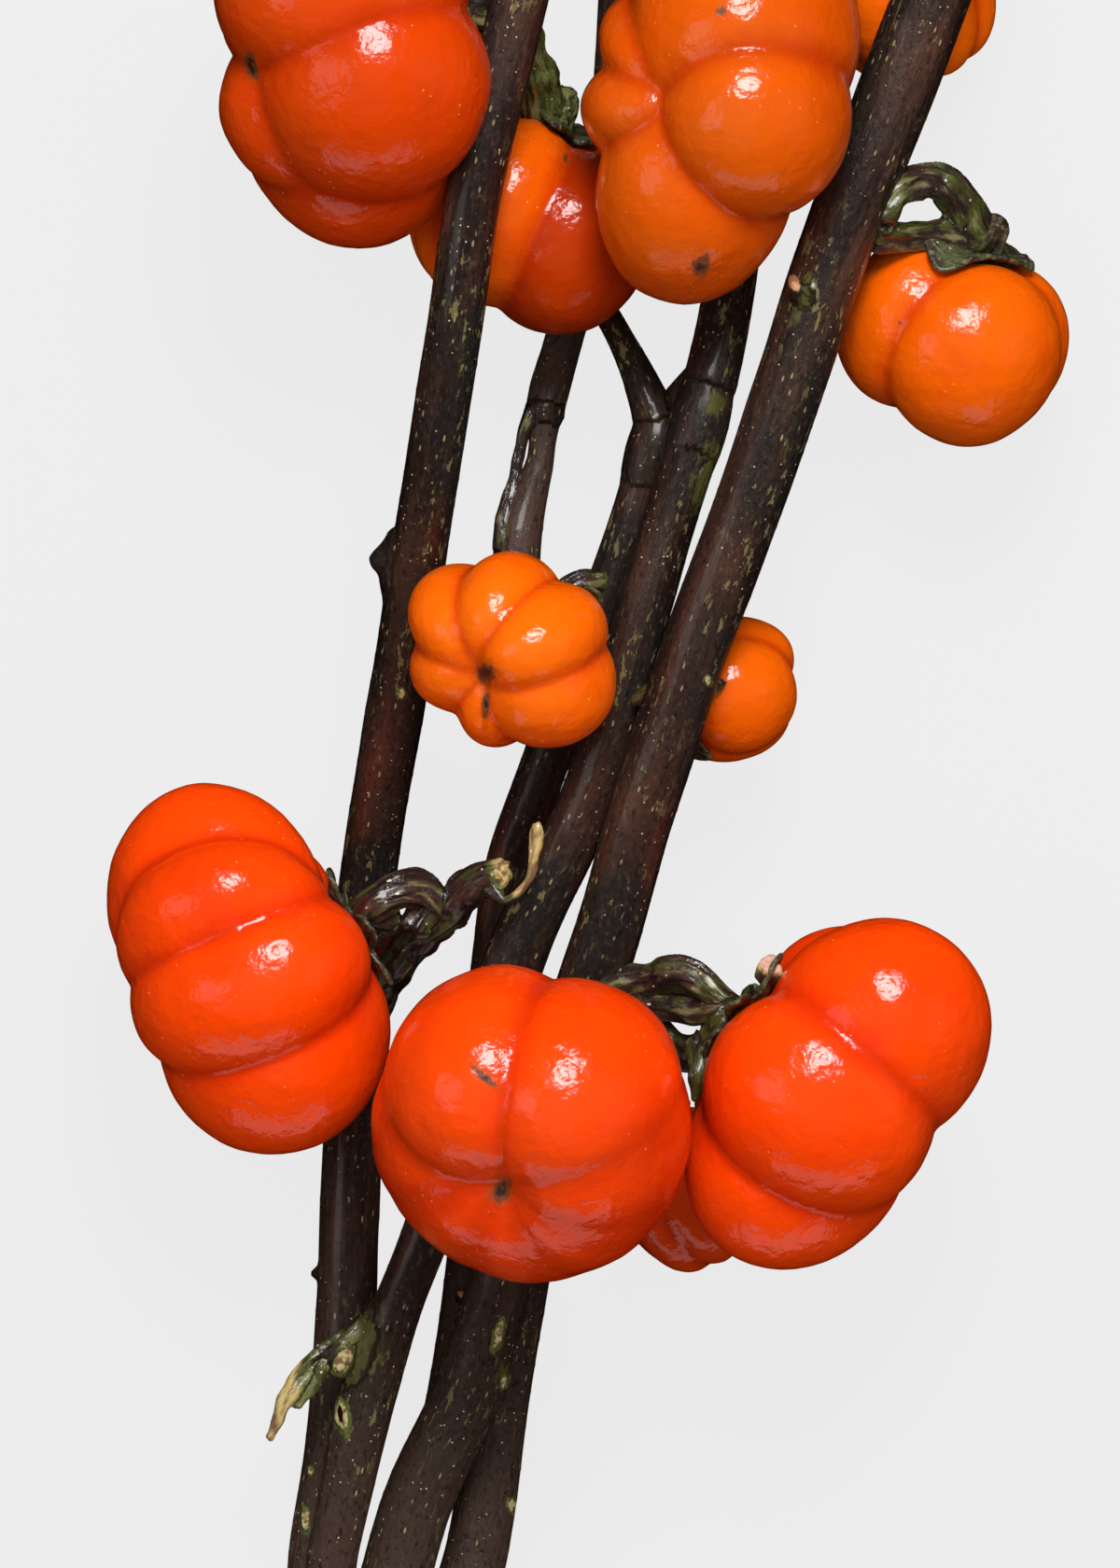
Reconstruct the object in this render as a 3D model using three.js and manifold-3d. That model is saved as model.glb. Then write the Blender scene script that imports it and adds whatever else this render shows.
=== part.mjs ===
// A cut branch of the pumpkin tree with eleven ribbed fruits, lying on a flat surface.
// Millimetres. X runs across the branch, Y along it to its tips, Z up from the surface.
import * as THREE from 'three';
import { mergeVertices } from 'three/addons/utils/BufferGeometryUtils.js';
import Module from 'manifold-3d';

const wasm = await Module();
wasm.setup();

// Driving dimensions
const MIDDLE = [4.3, -12.7]; // middle of the outline in the coordinates used below
const GAP = 0.3; // clearance left where one piece touches the next
const LOBE_DEPTH = 0.62; // radial half-size of a lobe as a share of its reach
const LOBE_DIVISIONS = [10, 7]; // sides and rings of a lobe
const SMALL_LOBE_DIVISIONS = [8, 6];
const CALYX_THICKNESS = 0.9;
const CALYX_NOTCH = 0.5; // depth of the notches between its points, as a share of its reach
const KNOB_RADIUS = 2.6;
const KNOB_TOP_RADIUS = 2.3;
const KNOB_HEIGHT = 2.6;
const KNOB_ROOT = 1; // how far the knob starts below the dimple floor before it is cut clear
const STALK_END_RADIUS = 2;
const STALK_STRAIGHT = 3.5;
const STEM_SIDES = 8;
const STEM_STEP = 15;
const PEDICEL_SIDES = 6;
const PEDICEL_STEP = 4;

// Each fruit: centre, direction of its stalk end, groove depth as a share of the reach, and
// its lobes as [azimuth, half angle, reach, half height, lift towards the stalk].
// Azimuth 0 is the side that faces up most, turning about the stalk direction.
const FRUITS = {
  upper_left: {
    colour: '#f5451b',
    centre: [-34, 120.5, 46],
    stalk: [0.93, 0.17, -0.33],
    groove: 0.12,
    calyxReach: 9,
    lobes: [
      [52, 46, 30.5, 19.5, -0.5],
      [-40, 42, 28.5, 21, -2.5],
      [104, 30, 35.2, 18.5, -0.3],
      [84, 28, 27, 20.5, -3.2],
      [152, 26, 27, 17, 0],
      [-157, 28, 25, 17, 0],
      [-108, 28, 27, 18, 0],
    ],
  },
  behind_left_stem: {
    colour: '#f0501c',
    centre: [-4.8, 91, 22],
    stalk: [0.27, 0.95, 0.1],
    divisions: SMALL_LOBE_DIVISIONS,
    groove: 0.12,
    calyxReach: 8,
    lobes: [
      [-22, 34, 21, 15.5, 1],
      [55, 37, 22, 15.4, -1.2],
      [108, 27, 19.5, 15, 0],
      [155, 26, 17.5, 15, 0],
      [-154, 26, 17.5, 15, 0],
      [-104, 26, 20.5, 15, 0],
      [-62, 22, 20.5, 15, 0],
    ],
  },
  upper_middle: {
    colour: '#f2700f',
    centre: [24.8, 108, 50],
    stalk: [0.5, 0.05, -0.86],
    groove: 0.14,
    calyxReach: 9,
    lobes: [
      [13, 56, 23.5, 17.6, -2],
      [113, 27, 32, 18, 0],
      [186, 28, 21.5, 16.5, -0.5],
      [-128, 20, 24, 15, 0],
      [-66, 38, 32, 20, 3],
    ],
  },
  top_right: {
    colour: '#f0480f',
    centre: [56.5, 127, 12.5],
    stalk: [-0.3, 0.92, 0.25],
    divisions: SMALL_LOBE_DIVISIONS,
    groove: 0.1,
    calyxReach: 6,
    lobes: [
      [25, 30, 14, 12.5, 0],
      [85, 30, 14, 12, 0],
      [145, 30, 13.8, 12, 0],
      [-155, 30, 13.8, 12, 0],
      [-95, 30, 14, 12, 0],
      [-35, 30, 14, 12, 0],
    ],
  },
  right: {
    colour: '#f47410',
    centre: [63.4, 72, 20.5],
    stalk: [0.34, 0.9, 0.25],
    groove: 0.12,
    calyxReach: 9,
    lobes: [
      [34, 56, 20.3, 15.2, 0.3],
      [-54, 34, 20, 14.2, 1],
      [112, 28, 19.4, 14.5, 0],
      [165, 27, 18.6, 14.5, 0],
      [-154, 27, 18.6, 14.5, 0],
      [-108, 30, 19, 14.2, 0.5],
    ],
  },
  small_middle: {
    colour: '#f77a0a',
    centre: [-7.7, 20.6, 43],
    stalk: [0.37, 0.24, -0.9],
    groove: 0.15,
    calyxReach: 8,
    lobes: [
      [5, 33, 17, 14, -1.3],
      [68, 40, 18, 13.2, 0],
      [137, 27, 15.2, 12, 0],
      [-156, 29, 17, 12.5, 0],
      [-109, 25, 19.2, 13, 0],
      [-58, 30, 17, 13.2, -0.2],
    ],
  },
  small_right: {
    colour: '#f5600f',
    centre: [27, 15, 20.5],
    stalk: [-0.85, -0.1, 0.5],
    divisions: SMALL_LOBE_DIVISIONS,
    groove: 0.08,
    calyxReach: 6,
    lobes: [
      [-10, 62, 12, 10.1, 0.4],
      [78, 36, 12.2, 10.5, -1.5],
      [148, 36, 11.8, 10.5, -1.2],
      [-152, 36, 11.4, 10.3, -0.8],
      [-100, 36, 11.6, 10.3, -0.5],
    ],
  },
  lower_left: {
    colour: '#f5400f',
    centre: [-50.8, -30.2, 24.3],
    stalk: [0.92, 0.33, 0.16],
    groove: 0.15,
    calyxReach: 9,
    lobes: [
      [12, 35, 27.5, 20, 2],
      [-40, 28, 28.5, 17.5, 0.5],
      [-84, 29, 31.5, 17.5, -0.5],
      [70, 31, 31.5, 19, 1.5],
      [124, 28, 26, 17, 0],
      [180, 29, 25, 17, 0],
      [-132, 27, 26, 17, 0],
    ],
  },
  lower_middle: {
    colour: '#f5430f',
    centre: [-4.4, -54.2, 55],
    stalk: [0.26, 0.5, -0.83],
    groove: 0.12,
    calyxReach: 10,
    lobes: [
      [23, 50, 26.3, 21, 0],
      [70, 38, 25.9, 20.5, 0],
      [104, 34, 26, 20, 0],
      [152, 34, 26.3, 19.5, 0],
      [-164, 32, 26.5, 19.5, 0],
      [-124, 30, 26.5, 19, 0],
      [-66, 44, 26.8, 21, 0],
    ],
  },
  lower_right: {
    colour: '#f5460f',
    centre: [43.3, -47.2, 36.5],
    stalk: [-0.8, 0.59, 0.12],
    groove: 0.14,
    calyxReach: 10,
    lobes: [
      [-22, 46, 28.3, 19.4, 0.3],
      [56, 35, 32, 18, -1],
      [118, 30, 27, 17.5, 0],
      [172, 27, 25, 17, 0],
      [-130, 28, 27, 17.5, -0.5],
      [-78, 29, 33, 17.5, -2.5],
    ],
  },
  low_behind: {
    colour: '#c8300f',
    centre: [20.9, -65.8, 11.3],
    stalk: [-0.45, 0.85, 0.25],
    divisions: SMALL_LOBE_DIVISIONS,
    groove: 0.1,
    calyxReach: 6,
    lobes: [
      [0, 32, 12.4, 12, 0],
      [64, 32, 12.4, 12, 0],
      [126, 31, 12.4, 12, 0],
      [-172, 32, 12.2, 12, 0],
      [-110, 31, 12.2, 12, 0],
      [-54, 26, 12.4, 12, 0],
    ],
  },
};

// Stems and side shoots: centre line points as [x, y, z, radius], from the butt to the tip.
const BUTT = [-35.3, -184, 8.9, 7.2];
const STEMS = {
  left: [
    BUTT, [-35.7, -168, 8.5, 6.8], [-37.5, -153, 7.6, 5.8], [-39.6, -138, 6.2, 5.1],
    [-39.3, -126, 5.5, 4.9], [-36.6, -108, 5.4, 4.9], [-34.8, -84, 5.4, 5], [-34.1, -66, 5.4, 5],
    [-33.6, -54, 5.4, 4.9], [-33.1, -39, 5.4, 4.8], [-32.2, -24, 5.6, 4.8],
    [-30.7, -12, 8, 4.8], [-27.7, 6, 17, 4.8], [-21.8, 42, 35, 4.7], [-18, 66, 43, 4.6],
    [-13.3, 96, 48, 4.6], [-6.4, 126, 48, 4.7], [1, 158, 46, 4.6],
  ],
  middle: [
    BUTT, [-35.8, -166, 9.2, 6.4], [-37.3, -143, 11.2, 4.8], [-36.9, -126, 14.4, 4.2],
    [-35.3, -118, 15.2, 4.3], [-31.2, -99, 16.8, 4.7], [-26.4, -84.5, 18.6, 4.1],
    [-22.5, -75, 20, 4.1], [-15.9, -54.5, 23, 4.6], [-5.6, -24, 26, 5], [5.3, -1, 28, 4.9],
    [11.3, 21, 30, 4.8], [17.6, 42, 29, 4.6], [24.6, 66, 26, 4.5], [27.3, 79.5, 22, 4.3],
    [30, 96, 18, 4.2], [34.5, 120, 16, 4], [37.5, 146, 17, 3.8],
  ],
  right: [
    BUTT, [-34.2, -167, 9.2, 6.8], [-31.2, -149, 10, 6.2], [-25.9, -126, 11.5, 5.8],
    [-23.6, -118, 12.4, 5.8], [-15.4, -99, 15.7, 5.5], [-9.8, -81, 19, 5.4],
    [-1.8, -54.5, 23.5, 5.4], [5.7, -30, 28, 5.5], [7.7, -24, 29, 5.5], [12.8, -6, 33, 5.5],
    [20.4, 18, 37.5, 5.6], [29.4, 42, 39, 5.7], [37.6, 66, 39, 5.8], [41.5, 78, 38.6, 5.9],
    [50.5, 102, 37.5, 6.1], [59.7, 126, 36, 6.2], [69.8, 153, 35, 6.1],
  ],
  back: [
    [-25, -129, 10.5, 3.6], [-21.6, -114, 8.2, 3.4], [-18.2, -99, 6.4, 3.4],
    [-14.9, -78, 8.8, 3.6], [-12.4, -51, 10.4, 3.8], [-10.4, -27, 12, 4],
    [-8, -12, 14.4, 4], [-3.6, 0, 17, 4], [3, 18, 18.5, 4], [9.6, 36, 19.5, 4],
    [13.5, 48, 20, 4], [15.6, 58, 20, 3.9], [13.4, 64.5, 19.4, 3], [9.9, 72, 16, 2.4],
    [7, 77.5, 11.5, 2.2],
  ],
  back_right: [
    [15.6, 57, 20, 3.4], [20.3, 63, 16.5, 3.1], [23.6, 67, 13.5, 3], [26.3, 73.5, 11.8, 2.9],
    [28.5, 84, 10.6, 2.8], [32, 99, 9, 2.6],
  ],
  back_left: [
    [-0.6, 6, 17.6, 3.4], [-4.2, 14, 16.4, 3.5], [-6.4, 26, 15, 3.7], [-6.3, 42, 13, 3.8],
    [-3.9, 54, 11, 3.8], [0.6, 72, 7.2, 3.7], [2.9, 81, 5, 3.5], [6, 96, 3.1, 3.3],
    [8.2, 111, 2.7, 3.2], [9.2, 126, 2.7, 3.2], [10.2, 144, 4.5, 3],
  ],
  under: [
    [-34.8, -172, 8.6, 4.8], [-28.5, -157, 8.3, 5.4], [-19.5, -142, 8, 5.6], [-13.8, -126, 6.5, 5.2],
    [-12.2, -118, 6, 5.1], [-9.8, -99, 5.8, 5], [-7.4, -84, 5.8, 5], [-5.3, -72, 6.8, 4.8],
    [-3.8, -61.5, 7.5, 4.6], [-2.3, -50, 8, 4.4],
  ],
};

// Fruit stalks: points from the wood to the fruit; the last one is met at the calyx.
const STALKS = {
  upper_left: [[-7, 122, 47.5, 2.6], [-12, 122.5, 46, 2.2]],
  behind_left_stem: [[-5.5, 128, 45, 2.6], [-3.2, 119, 36, 2.2], [-2.2, 112, 29, 2.1]],
  upper_middle: [[34, 112, 18, 2.6], [35, 110, 26, 2.2]],
  top_right: [[61, 139, 33, 2.6], [56, 142, 24, 2.1]],
  right: [
    [53, 92, 38, 2.6], [56, 97.5, 36, 2.2], [60.5, 98.5, 32, 2.2], [64.6, 95.5, 28, 2.2],
    [65.8, 91, 25.5, 2.2],
  ],
  small_middle: [[8.6, 32.5, 19.5, 2.6], [3, 32.3, 23, 2], [-1, 27, 26, 2]],
  small_right: [[16.5, 15, 36, 2.6], [13, 14, 32.5, 2]],
  lower_left: [[-18, -21, 26, 2.6], [-22, -17.3, 29.5, 2.4], [-27, -17.4, 31.5, 2.2]],
  lower_middle: [[0.6, -46, 26, 3], [1, -46, 33, 2.4]],
  lower_right: [[6, -34, 29, 2.8], [14, -32, 33.5, 2.2], [21, -31, 39, 2.2]],
  low_behind: [[-2.2, -52, 8, 2.6], [6, -50, 9, 2], [14, -51.5, 13, 2]],
};

// Side growths on the wood
const GROWTHS = {
  shared_stalk: [
    [-33, -42, 6, 3.6], [-30, -34, 12, 3.6], [-25, -26.5, 20, 3.5], [-18, -20.5, 27, 3.1],
    [-13, -15.8, 33, 2.6], [-9, -14, 35, 1.9],
  ],
  dry_curl: [
    [-12, -16, 34, 1.9], [-9, -18.8, 35.5, 0.9], [-5, -15, 36.4, 0.8], [-4.2, -10, 36.8, 0.8],
    [-4, -6, 37, 0.7],
  ],
  second_stalk: [
    [8, -37, 27, 2.8], [15, -37, 31, 1.9], [19, -41, 31.5, 1.9], [20.5, -45, 30, 1.6],
  ],
  dry_stub: [
    [-33, -95, 17.5, 2.6], [-38, -93.5, 20, 1.9], [-43, -99, 21, 1.4], [-47, -105.5, 21.5, 0.8],
  ],
  left_bud: [[-22, 34, 33, 2.6], [-27, 35.5, 33.5, 1.8], [-30, 36.5, 34, 0.9]],
  left_thorn: [[-36, -80.5, 6, 1.8], [-40.5, -79.3, 7, 0.7]],
  right_bud: [[41, 79, 43, 2.4], [38.2, 77.6, 45.4, 1]],
};

const up = new THREE.Vector3(0, 0, 1);

function solidOf(geometry) {
  geometry.deleteAttribute('normal');
  geometry.deleteAttribute('uv');
  const merged = mergeVertices(geometry, 1e-4);
  return new wasm.Manifold(new wasm.Mesh({
    numProp: 3,
    vertProperties: new Float32Array(merged.attributes.position.array),
    triVerts: new Uint32Array(merged.index.array),
  }));
}

function geometryOf(solid) {
  const mesh = solid.getMesh();
  const geometry = new THREE.BufferGeometry();
  geometry.setAttribute('position', new THREE.BufferAttribute(mesh.vertProperties, 3));
  geometry.setIndex(new THREE.BufferAttribute(mesh.triVerts, 1));
  geometry.computeVertexNormals();
  return geometry;
}

function largest(solid) {
  return solid.decompose().reduce((big, piece) => (piece.volume() > big.volume() ? piece : big));
}

function fuse(solids) {
  return solids.reduce((whole, solid) => whole.add(solid));
}

// The fruit's own directions: facing up, across, and towards its stalk
function fruitAxes(fruit) {
  const stalk = new THREE.Vector3(...fruit.stalk).normalize();
  const facing = up.clone().addScaledVector(stalk, -up.dot(stalk)).normalize();
  const across = new THREE.Vector3().crossVectors(stalk, facing);
  return { stalk, facing, across };
}

function lobe(fruit, [azimuth, halfAngle, reach, halfHeight, lift], grow) {
  const { stalk, facing, across } = fruitAxes(fruit);
  const turn = THREE.MathUtils.degToRad(azimuth);
  const half = THREE.MathUtils.degToRad(halfAngle);
  const outward = facing.clone().multiplyScalar(Math.cos(turn)).addScaledVector(across, Math.sin(turn));
  const sideways = new THREE.Vector3().crossVectors(outward, stalk);
  const grooveReach = 1 - fruit.groove;
  const along = (grooveReach * Math.cos(half) - 1 + LOBE_DEPTH) / LOBE_DEPTH;
  const halfWidth = reach * grooveReach * Math.sin(half) / Math.sqrt(1 - along * along);
  const centre = new THREE.Vector3(...fruit.centre)
    .addScaledVector(outward, reach * (1 - LOBE_DEPTH))
    .addScaledVector(stalk, lift);
  const place = new THREE.Matrix4().makeBasis(outward, stalk, sideways).setPosition(centre);
  const size = new THREE.Vector3(reach * LOBE_DEPTH + grow, halfHeight + grow, halfWidth + grow);
  const [sides, rings] = fruit.divisions ?? LOBE_DIVISIONS;
  const ball = new THREE.SphereGeometry(1, sides, rings);
  return solidOf(ball.applyMatrix4(place.scale(size)));
}

function fruitBody(fruit, grow) {
  return fuse(fruit.lobes.map((shape) => lobe(fruit, shape, grow)));
}

// Height of the dimple floor at the stalk end, above the fruit's centre
function dimpleHeight(fruit) {
  const share = Math.sqrt(1 - ((1 - LOBE_DEPTH) / LOBE_DEPTH) ** 2);
  return Math.max(...fruit.lobes.map(([, , , halfHeight, lift]) => halfHeight * share + lift));
}

function knobTop(fruit) {
  return dimpleHeight(fruit) + GAP * 2 + KNOB_HEIGHT;
}

function fruitPlace(fruit) {
  const { stalk, facing, across } = fruitAxes(fruit);
  return new THREE.Matrix4().makeBasis(facing, across, stalk).setPosition(...fruit.centre);
}

// A five-pointed cap that follows the lobes, with a thick middle for the stalk
function calyx(fruit) {
  const star = new THREE.Shape();
  for (let corner = 0; corner < 10; corner += 1) {
    const reach = corner % 2 ? fruit.calyxReach * CALYX_NOTCH : fruit.calyxReach;
    const turn = corner * Math.PI / 5;
    const x = reach * Math.cos(turn);
    const y = reach * Math.sin(turn);
    if (corner) star.lineTo(x, y);
    else star.moveTo(x, y);
  }
  star.closePath();
  const place = fruitPlace(fruit);
  const prism = new THREE.ExtrudeGeometry(star, { depth: fruit.calyxReach * 3, bevelEnabled: false });
  const cap = fruitBody(fruit, GAP + CALYX_THICKNESS).intersect(solidOf(prism.applyMatrix4(place)));
  const root = dimpleHeight(fruit) - KNOB_ROOT;
  const knob = new THREE.CylinderGeometry(KNOB_TOP_RADIUS, KNOB_RADIUS, knobTop(fruit) - root, PEDICEL_SIDES)
    .rotateX(Math.PI / 2)
    .translate(0, 0, (knobTop(fruit) + root) / 2)
    .applyMatrix4(place);
  return largest(cap.add(solidOf(knob)).subtract(fruitBody(fruit, GAP)));
}

// A round rod along points of [x, y, z, radius]
function rod(points, sides, step) {
  const path = new THREE.CatmullRomCurve3(
    points.map(([x, y, z]) => new THREE.Vector3(x, y, z)), false, 'centripetal');
  const steps = Math.max(2, Math.round(path.getLength() / step));
  const frames = path.computeFrenetFrames(steps);
  const geometry = new THREE.CylinderGeometry(1, 1, 1, sides, steps).rotateX(-Math.PI / 2);
  const place = geometry.attributes.position;
  for (let i = 0; i < place.count; i += 1) {
    const share = place.getZ(i) + 0.5;
    const ring = Math.round(share * steps);
    const t = path.getUtoTmapping(share) * (points.length - 1);
    const from = Math.min(Math.floor(t), points.length - 2);
    const radius = THREE.MathUtils.lerp(points[from][3], points[from + 1][3], t - from);
    const spot = path.getPointAt(share)
      .addScaledVector(frames.normals[ring], place.getX(i) * radius)
      .addScaledVector(frames.binormals[ring], place.getY(i) * radius);
    place.setXYZ(i, spot.x, spot.y, spot.z);
  }
  return solidOf(geometry);
}

// The stalk's last point lies just above the calyx it carries
function stalkPath(name) {
  const fruit = FRUITS[name];
  const { stalk } = fruitAxes(fruit);
  const end = new THREE.Vector3(...fruit.centre).addScaledVector(stalk, knobTop(fruit) + GAP);
  const ahead = end.clone().addScaledVector(stalk, STALK_STRAIGHT);
  return [...STALKS[name], [...ahead, STALK_END_RADIUS], [...end, STALK_END_RADIUS]];
}

function wood() {
  return fuse([
    ...Object.values(STEMS).map((points) => rod(points, STEM_SIDES, STEM_STEP)),
    ...Object.keys(STALKS).map((name) => rod(stalkPath(name), PEDICEL_SIDES, PEDICEL_STEP)),
    ...Object.values(GROWTHS).map((points) => rod(points, PEDICEL_SIDES, PEDICEL_STEP)),
  ]);
}

// What lies below the surface is cut flat, so that the low points rest on it
function restFlat(solid) {
  const block = new THREE.BoxGeometry(400, 600, 20).translate(0, 0, -10);
  return solid.subtract(solidOf(block));
}

function paint(name, solid, colour, roughness) {
  const material = new THREE.MeshStandardMaterial({ color: colour, roughness, metalness: 0 });
  const mesh = new THREE.Mesh(geometryOf(solid), material);
  mesh.name = name;
  return mesh;
}

const branch = new THREE.Group();
const clearOfFruits = Object.values(FRUITS)
  .reduce((solid, fruit) => solid.subtract(fruitBody(fruit, GAP)), wood());
branch.add(paint('wood', largest(restFlat(clearOfFruits)), '#2b211d', 0.5));
for (const [name, fruit] of Object.entries(FRUITS)) {
  branch.add(paint(`fruit_${name}`, restFlat(fruitBody(fruit, 0)), fruit.colour, 0.25));
  branch.add(paint(`calyx_${name}`, calyx(fruit), '#3f4426', 0.6));
}
branch.position.set(-MIDDLE[0], -MIDDLE[1], 0);

export default branch;
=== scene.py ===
import math

import bpy
import numpy as np
from mathutils import Matrix, Vector, noise


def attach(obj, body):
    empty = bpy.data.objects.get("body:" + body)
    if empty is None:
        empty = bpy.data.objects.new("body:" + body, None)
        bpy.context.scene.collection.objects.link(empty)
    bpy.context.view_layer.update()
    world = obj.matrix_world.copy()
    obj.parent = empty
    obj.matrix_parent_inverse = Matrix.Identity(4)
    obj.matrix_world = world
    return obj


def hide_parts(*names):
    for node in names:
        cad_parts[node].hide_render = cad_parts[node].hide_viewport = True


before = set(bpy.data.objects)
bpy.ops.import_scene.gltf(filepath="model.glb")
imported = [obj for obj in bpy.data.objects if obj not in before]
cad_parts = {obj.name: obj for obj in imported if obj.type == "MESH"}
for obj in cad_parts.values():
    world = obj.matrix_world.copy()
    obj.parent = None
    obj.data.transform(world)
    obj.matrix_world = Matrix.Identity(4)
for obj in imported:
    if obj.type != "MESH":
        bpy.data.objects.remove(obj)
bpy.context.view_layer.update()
print("frame loaded:", len(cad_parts), "nodes")

# Tables are in millimetres: x across the branch, y along it to its tips, z up from the surface.
middle = np.array((4.3, -12.7, 0))  # the tables' middle of the outline


def place(point):  # a table's point as a place in the scene, in metres
    return (np.array(point[:3], float) - middle) / 1000


def placeLine(line):  # the same for all the points of a line
    return (np.array(line)[:, :3] - middle) / 1000


# The camera looks straight down at the branch, which lies on pale paper.
studio = {
    "photoMiddle": (-0.0043, 0.0127),
    "cameraHeight": 3.0,
    "sensorHeight": 24,
    "lens": 281.9,
    "farthest": 20,
    "ambient": 0.2,
    "roomColour": (1, 0.995, 1),
    "lights": [  # name, place, width, height, watts, seen in reflections
        ("keyLight", (0.1, 0.72, 0.95), 0.42, 0.42, 12, True),
        ("roomLight", (-0.2, 0.1, 2.2), 2.6, 2.6, 22, False),
        ("sideLight", (-0.85, 0.1, 0.95), 0.6, 0.6, 1.2, True),
        ("fillLight", (0.95, 0.1, 0.6), 0.8, 0.8, 2.5, False),
        ("lowLight", (0, -1.0, 0.14), 1.4, 0.4, 1.6, True),
    ],
    "paperSize": 8,
    "paperDrop": 0.0002,  # just under the branch
    "paperColour": (0.03, 0.03, 0.03),
    "paperRoughness": 0.9,
    "glowColour": (1, 0.99, 0.995),
    "glow": 0.806,
}


def setStudio():
    bpy.ops.object.camera_add(location=(*studio["photoMiddle"], studio["cameraHeight"]), rotation=(0, 0, 0))
    camera = bpy.context.object
    camera.data.sensor_fit = "VERTICAL"
    camera.data.sensor_height = studio["sensorHeight"]
    camera.data.lens = studio["lens"]
    camera.data.clip_end = studio["farthest"]
    bpy.context.scene.camera = camera
    for name, spot, width, height, watts, mirrored in studio["lights"]:
        bpy.ops.object.light_add(type="AREA", location=spot)
        light = bpy.context.object
        light.name = name
        light.data.shape = "RECTANGLE"
        light.data.size, light.data.size_y = width, height
        light.data.energy = watts
        light.visible_glossy = mirrored
        light.rotation_euler = (-Vector(spot)).to_track_quat("-Z", "Y").to_euler()
    world = bpy.data.worlds.new("paleRoom")
    world.use_nodes = True
    room = world.node_tree.nodes["Background"].inputs
    room["Color"].default_value = (*studio["roomColour"], 1)
    room["Strength"].default_value = studio["ambient"]
    world.cycles_visibility.glossy = False
    bpy.context.scene.world = world
    bpy.context.scene.view_settings.view_transform = "Standard"
    bpy.ops.mesh.primitive_plane_add(size=studio["paperSize"], location=(0, 0, -studio["paperDrop"]))
    floor = bpy.context.object
    floor.name = "floor"
    floor.visible_glossy = floor.visible_diffuse = False
    paper = Shader(
        "paper", Base_Color=studio["paperColour"], Roughness=studio["paperRoughness"],
        Emission_Color=studio["glowColour"], Emission_Strength=studio["glow"],
    )
    floor.data.materials.append(paper.material)


# Helpers for modelling by hand.
def onlySelect(*pieces):
    bpy.ops.object.select_all(action="DESELECT")
    for piece in pieces:
        piece.select_set(True)
    bpy.context.view_layer.objects.active = pieces[0]


def apply(piece, kind, **settings):
    onlySelect(piece)
    modifier = piece.modifiers.new(kind.lower(), kind)
    for key, value in settings.items():
        setattr(modifier, key, value)
    bpy.ops.object.modifier_apply(modifier=modifier.name)


def joined(pieces, name):
    onlySelect(*pieces)
    if len(pieces) > 1:
        bpy.ops.object.join()
    bpy.ops.object.transform_apply(location=True, rotation=True, scale=True)
    piece = bpy.context.object
    piece.name = piece.data.name = name
    return piece


def skinned(piece, voxel, rounds):  # one closed skin over joined forms, then smoothed
    apply(piece, "REMESH", mode="VOXEL", voxel_size=voxel / 1000)
    apply(piece, "SMOOTH", factor=0.5, iterations=rounds)


def points(piece):
    found = np.empty(len(piece.data.vertices) * 3, np.float32)
    piece.data.vertices.foreach_get("co", found)
    return found.reshape(-1, 3).astype(float)


def normals(piece):
    found = np.empty(len(piece.data.vertices) * 3, np.float32)
    piece.data.vertex_normals.foreach_get("vector", found)
    return found.reshape(-1, 3).astype(float)


def movePoints(piece, moved):
    piece.data.vertices.foreach_set("co", moved.astype(np.float32).ravel())
    piece.data.update()


def keep(piece, name, values):  # stores a number or a vector at each point, for the material
    kind, field = ("FLOAT", "value") if values.ndim == 1 else ("FLOAT_VECTOR", "vector")
    piece.data.attributes.new(name, kind, "POINT").data.foreach_set(field, values.astype(np.float32).ravel())


def rough(places, size, octaves=2):  # gentle noise from -1 to 1 with features of that size in metres
    return np.array([noise.fractal(Vector(p / size), 1.0, 2.0, octaves) for p in places])


def ease(values, low, high):
    share = np.clip((values - low) / (high - low), 0, 1)
    return share * share * (3 - 2 * share)


def ovals(at, facing, table):  # 0 in the middle of an oval, 1 on its edge, up to 3 away from all
    nearest = np.full(len(at), 3.0)
    for x, y, width, length, turn in table:
        away = (at[:, :2] - place((x, y, 0))[:2]) * 1000
        cosine, sine = math.cos(math.radians(turn)), math.sin(math.radians(turn))
        across = (away[:, 0] * cosine + away[:, 1] * sine) / width
        along = (away[:, 1] * cosine - away[:, 0] * sine) / length
        gap = np.hypot(across, along) + 3 * (facing[:, 2] < -0.1)  # not on the underside
        nearest = np.minimum(nearest, gap)
    return nearest


def restFlat(piece):  # what lies below the surface is cut flat
    if points(piece)[:, 2].min() >= 0:
        return
    onlySelect(piece)
    bpy.ops.object.mode_set(mode="EDIT")
    bpy.ops.mesh.select_all(action="SELECT")
    bpy.ops.mesh.bisect(plane_co=(0, 0, 0), plane_no=(0, 0, 1), use_fill=True, clear_inner=True)
    bpy.ops.object.mode_set(mode="OBJECT")


def finishPiece(piece, material, slot, *nodes):
    onlySelect(piece)
    bpy.ops.object.shade_smooth()
    piece.data.materials.clear()
    piece.data.materials.append(material)
    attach(piece, "root")
    if nodes:
        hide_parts(*nodes)


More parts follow.
